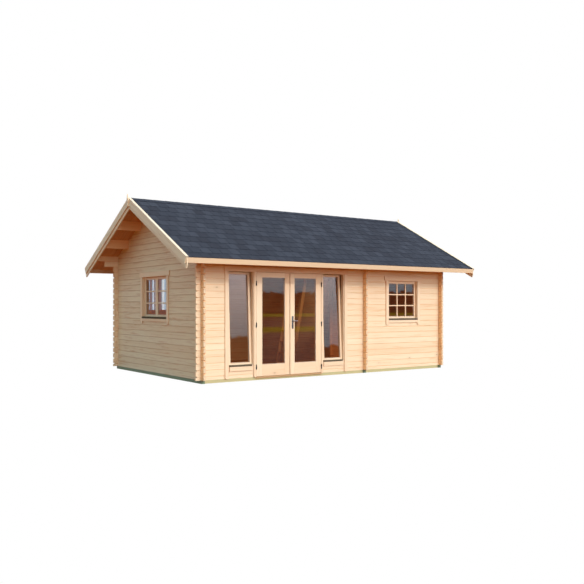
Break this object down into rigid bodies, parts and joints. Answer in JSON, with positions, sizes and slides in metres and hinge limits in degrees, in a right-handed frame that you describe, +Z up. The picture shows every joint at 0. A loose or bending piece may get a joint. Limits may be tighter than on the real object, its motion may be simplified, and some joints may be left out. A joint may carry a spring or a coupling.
{
  "type": "two-room log cabin",
  "caption": "Two-room garden log cabin: interlocked log walls, felt-shingled saddle roof, glazed double doors between tilted side panels, and barred windows.",
  "frame": {"origin": "middle of the log walls' plan, on the ground under the foundation beams", "axes": "+X along the long front, to the right for someone facing it; +Y from front to rear; +Z up"},
  "size_m": [7.148, 4.884, 3.543],
  "materials": {
    "log_wood": "natural spruce logs with a light clear finish",
    "trim_wood": "planed natural spruce boards",
    "joinery_wood": "planed natural spruce joinery",
    "roof_wood": "planed tongued boards",
    "floor_wood": "planed floor boards",
    "ladder_wood": "planed softwood",
    "threshold_wood": "oiled hardwood",
    "treated_beam": "green pressure-treated timber",
    "felt_shingle": "bitumen felt with slate-blue mineral granules",
    "window_glass": "clear glass",
    "drip_aluminium": "grey anodised strip",
    "hinge_metal": "dark coated steel",
    "handle_steel": "satin steel"
  },
  "bodies": {
    "cabin": {"cross_foundation_beams": "treated_beam", "long_foundation_beams": "treated_beam", "floor_joists": "treated_beam", "floor": "floor_wood", "front_wall_left": "log_wood", "front_wall_right": "log_wood", "front_wall_sills": "log_wood", "front_wall_top": "log_wood", "rear_wall": "log_wood", "left_gable_wall": "log_wood", "right_gable_wall": "log_wood", "partition_wall": "log_wood", "purlins": "log_wood", "front_roof_boards": "roof_wood", "rear_roof_boards": "roof_wood", "front_shingles": "felt_shingle", "rear_shingles": "felt_shingle", "ridge_cap": "felt_shingle", "fascias": "trim_wood", "barge_boards": "trim_wood", "barge_backing_boards": "trim_wood", "verge_strips": "trim_wood", "finials": "trim_wood", "door_posts": "joinery_wood", "door_head": "joinery_wood", "door_threshold": "threshold_wood", "door_stops": "joinery_wood", "door_casing": "trim_wood", "panel_rails": "joinery_wood", "panel_sashes": "joinery_wood", "panel_glass": "window_glass", "panel_sill_boards": "trim_wood", "front_window_frame": "joinery_wood", "front_window_sash": "joinery_wood", "front_window_glass": "window_glass", "front_window_casing": "trim_wood", "gable_window_frame": "joinery_wood", "gable_window_sashes": "joinery_wood", "gable_window_glass": "window_glass", "gable_window_casing": "trim_wood", "sill_strips": "drip_aluminium", "frame_hinges": "hinge_metal", "ladder": "ladder_wood"},
    "left_door": {"left_door": "joinery_wood", "left_door_glass": "window_glass", "left_door_hinges": "hinge_metal"},
    "right_door": {"right_door": "joinery_wood", "right_door_glass": "window_glass", "right_door_hinges": "hinge_metal", "meeting_cover_strip": "trim_wood", "handle_plates": "handle_steel"},
    "lever": {"door_lever": "handle_steel"}
  },
  "joints": [
    {"name": "left_door_hinge", "type": "hinge", "parent": "cabin", "child": "left_door", "pos_m": [-1.8575, -1.966, 1], "axis": [0, 0, -1], "range_deg": [0, 115]},
    {"name": "right_door_hinge", "type": "hinge", "parent": "cabin", "child": "right_door", "pos_m": [-0.3425, -1.966, 1], "axis": [0, 0, 1], "range_deg": [0, 115]},
    {"name": "door_lever_turn", "type": "hinge", "parent": "right_door", "child": "lever", "pos_m": [-1.034, -1.953, 1.089], "axis": [0, 1, 0], "range_deg": [0, 40], "stiffness_Nm_per_rad": 1.5, "springref_deg": -28.65}
  ]
}
